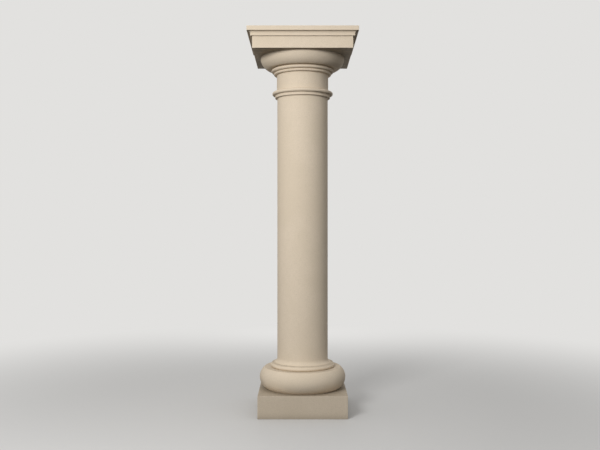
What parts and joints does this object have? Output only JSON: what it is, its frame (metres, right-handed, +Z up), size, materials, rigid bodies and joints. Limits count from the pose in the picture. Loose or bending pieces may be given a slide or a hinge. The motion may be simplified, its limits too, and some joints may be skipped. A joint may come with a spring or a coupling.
{
  "type": "doric column",
  "caption": "Plain round stone column on a square plinth, with a rounded base and a moulded square-topped capital.",
  "frame": {"origin": "centre of the plinth's underside", "axes": "+Z up along the column's axis, with the sides of the plinth and the abacus square to X and Y"},
  "size_m": [0.682, 0.682, 2.4],
  "materials": {
    "stone": "smooth rubbed, matt"
  },
  "bodies": {
    "root": {"plinth": "stone", "base": "stone", "shaft": "stone", "capital": "stone"}
  },
  "joints": []
}
